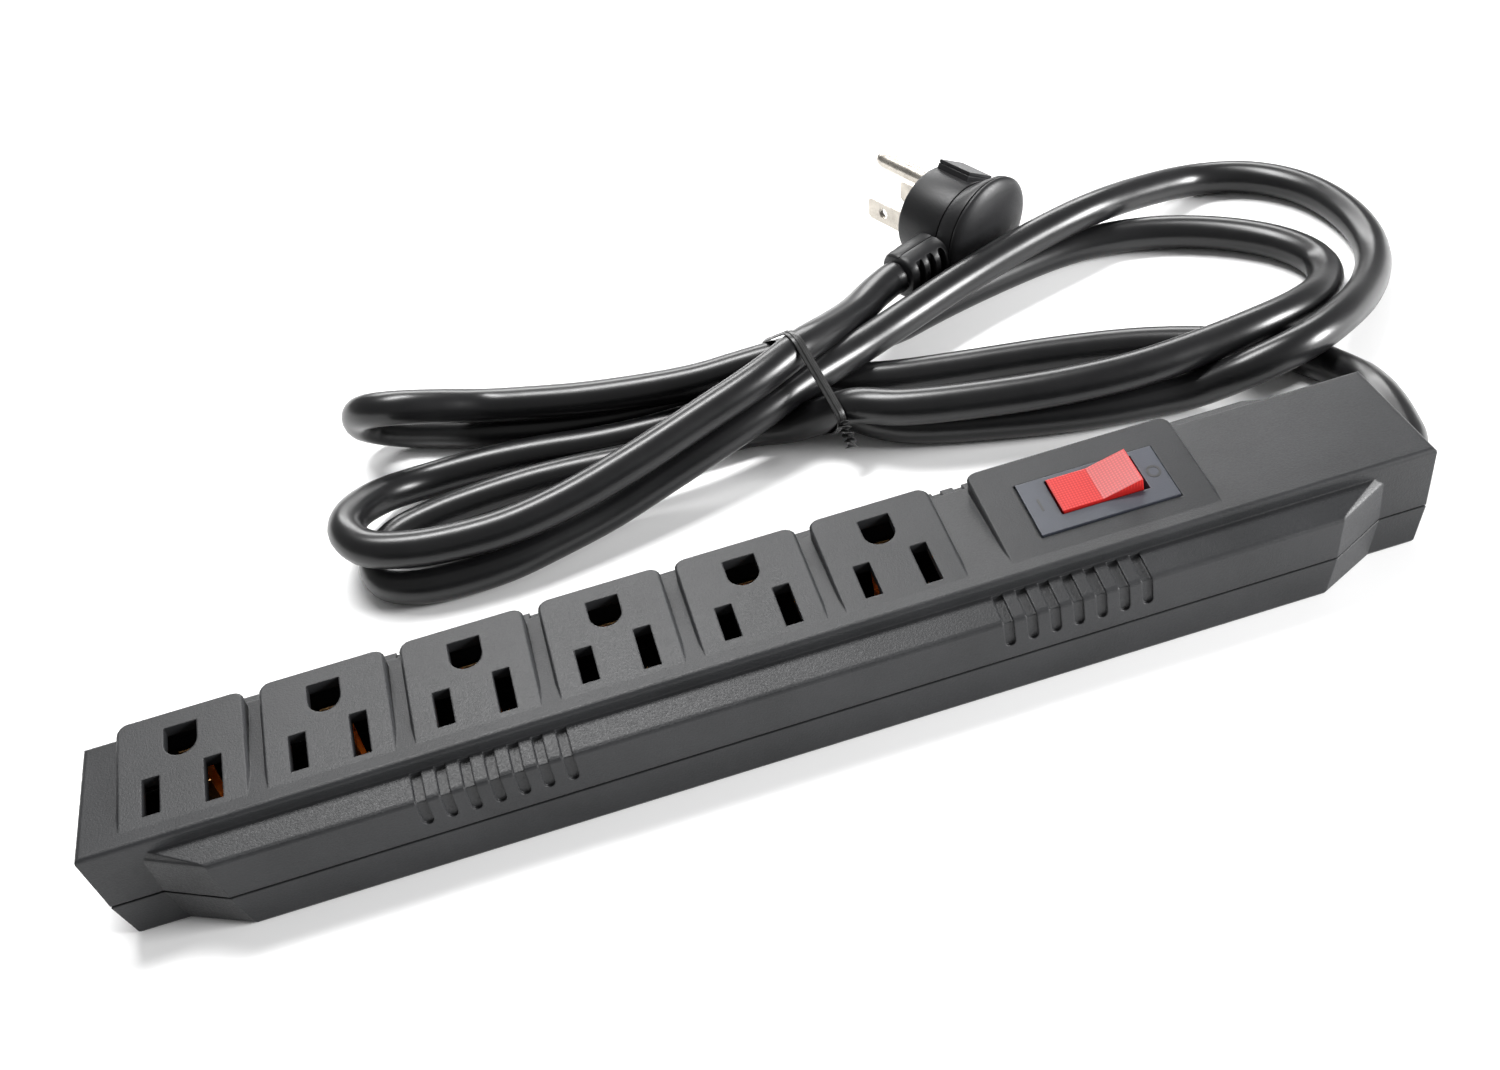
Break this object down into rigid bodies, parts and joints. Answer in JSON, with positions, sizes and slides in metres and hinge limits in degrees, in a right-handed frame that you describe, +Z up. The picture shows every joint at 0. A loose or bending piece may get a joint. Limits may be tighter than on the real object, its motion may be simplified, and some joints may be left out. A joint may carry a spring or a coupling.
{
  "type": "surge protector strip",
  "caption": "Low black surge protector strip with a row of angled mains outlets, a lit red rocker switch at one end and a tied coil of cord with a right-angle plug.",
  "frame": {"origin": "middle of the strip's underside, cord and plug left out", "axes": "+X along the strip towards the end where the cord leaves, +Y towards the side where the outlets' ground holes are, +Z up"},
  "size_m": [0.337, 0.1898, 0.0303],
  "materials": {
    "housing": "fine moulded texture",
    "switch_plate": "satin",
    "rocker_red": "translucent gloss",
    "brass": "plain stamped",
    "nickel": "bright nickel plate",
    "steel": "zinc plated",
    "glass": "clear",
    "board": "satin",
    "varistor_blue": "dipped resin",
    "fuse_ceramic": "ceramic white",
    "cord_jacket": "satin vinyl",
    "grommet_rubber": "matte",
    "wire_black": "satin vinyl",
    "wire_white": "satin vinyl",
    "wire_green": "satin vinyl",
    "plug_black": "satin vinyl",
    "tie_black": "satin"
  },
  "bodies": {
    "strip": {"upper_housing": "housing", "lower_housing": "housing", "housing_screw_1": "steel", "housing_screw_2": "steel", "housing_screw_3": "steel", "housing_screw_4": "steel", "housing_screw_5": "steel", "housing_screw_6": "steel", "hot_bus_bar": "brass", "neutral_bus_bar": "brass", "ground_bus_bar": "brass", "breaker_case": "switch_plate", "breaker_terminal_line": "brass", "breaker_terminal_load": "brass", "breaker_terminal_lamp": "brass", "rocker_pin": "steel", "bimetal_arm": "brass", "neon_lamp": "glass", "rocker_spring": "steel", "surge_board": "board", "varistor_1": "varistor_blue", "varistor_2": "varistor_blue", "varistor_3": "varistor_blue", "thermal_fuse": "fuse_ceramic", "wire_line": "wire_black", "wire_neutral": "wire_white", "wire_ground": "wire_green", "wire_load": "wire_black", "cord_grommet": "grommet_rubber", "cord_clamp": "grommet_rubber", "clamp_screw_1": "steel", "clamp_screw_2": "steel", "power_cord": "cord_jacket", "plug_body": "plug_black", "line_blade": "nickel", "neutral_blade": "nickel", "ground_pin": "nickel", "twist_tie": "tie_black"},
    "rocker": {"rocker": "rocker_red"}
  },
  "joints": [
    {"name": "rocker_hinge", "type": "hinge", "parent": "strip", "child": "rocker", "pos_m": [0.0752, 0.00194, 0.02368], "axis": [0, 0.9926, 0.1212], "range_deg": [0, 16]}
  ]
}
